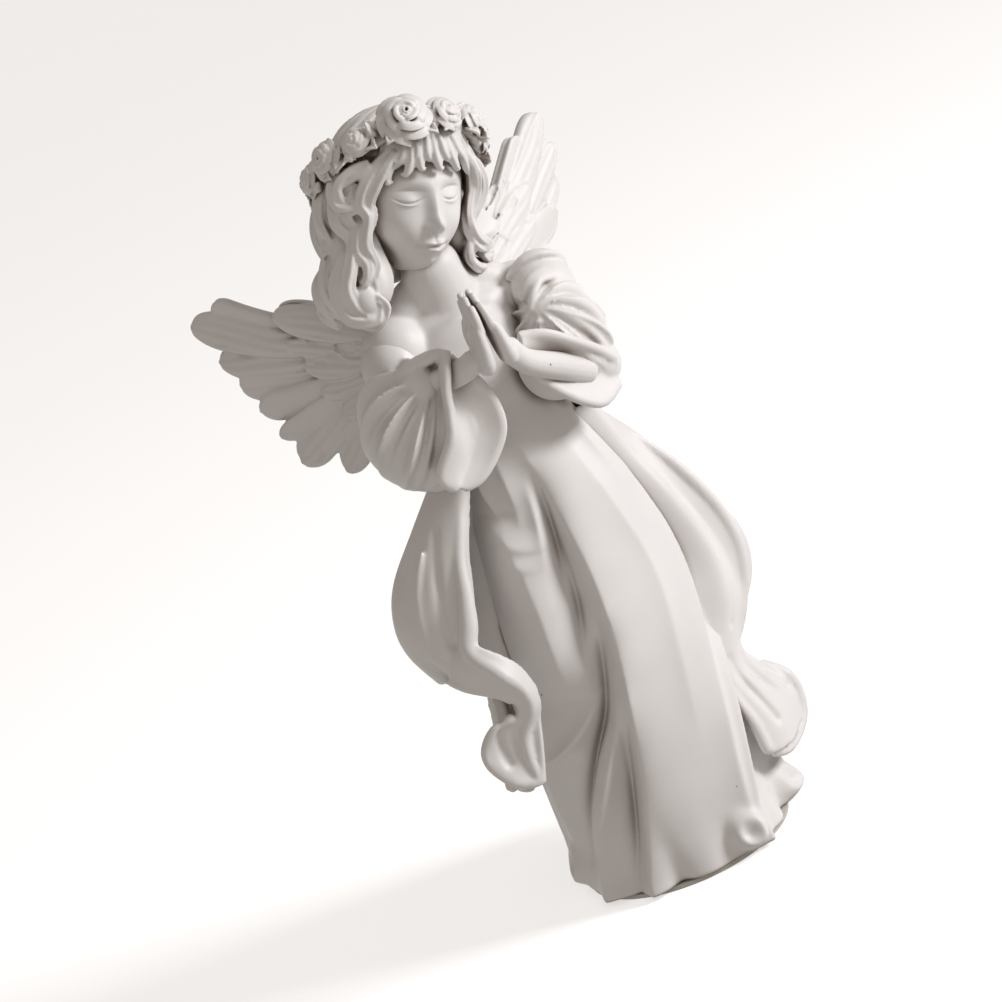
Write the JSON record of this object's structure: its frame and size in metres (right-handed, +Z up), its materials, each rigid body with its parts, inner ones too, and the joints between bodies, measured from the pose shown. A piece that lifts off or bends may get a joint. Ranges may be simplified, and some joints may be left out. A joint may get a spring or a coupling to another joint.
{
  "type": "angel figurine",
  "caption": "White cast resin figurine of a praying winged angel in a long gown, with a rose wreath and a blown mantle, standing on a felt pad.",
  "frame": {"origin": "centre of the felt pad's underside, where the figurine stands", "axes": "+Z up, -Y the way the angel faces, +X towards the angel's left hand"},
  "size_m": [0.0977, 0.079, 0.1966],
  "materials": {
    "cast_resin": "white cast polyresin, satin, with small pinholes",
    "felt": "pale wool felt",
    "pin_steel": "drawn steel wire"
  },
  "bodies": {
    "root": {"felt_pad": "felt", "gown": "cast_resin", "bust": "cast_resin", "head": "cast_resin", "hair": "cast_resin", "wreath_vine": "cast_resin", "wreath_leaves": "cast_resin", "rose_1": "cast_resin", "rose_2": "cast_resin", "rose_3": "cast_resin", "rose_4": "cast_resin", "rose_5": "cast_resin", "rose_6": "cast_resin", "rose_7": "cast_resin", "rose_8": "cast_resin", "rose_9": "cast_resin", "wing_right": "cast_resin", "wing_left": "cast_resin", "wing_pin_right": "pin_steel", "wing_pin_left": "pin_steel", "neck_pin": "pin_steel", "sleeve_right": "cast_resin", "sleeve_left": "cast_resin", "hand_right": "cast_resin", "hand_left": "cast_resin", "mantle_back": "cast_resin", "drape_right": "cast_resin", "drape_left": "cast_resin"}
  },
  "joints": []
}
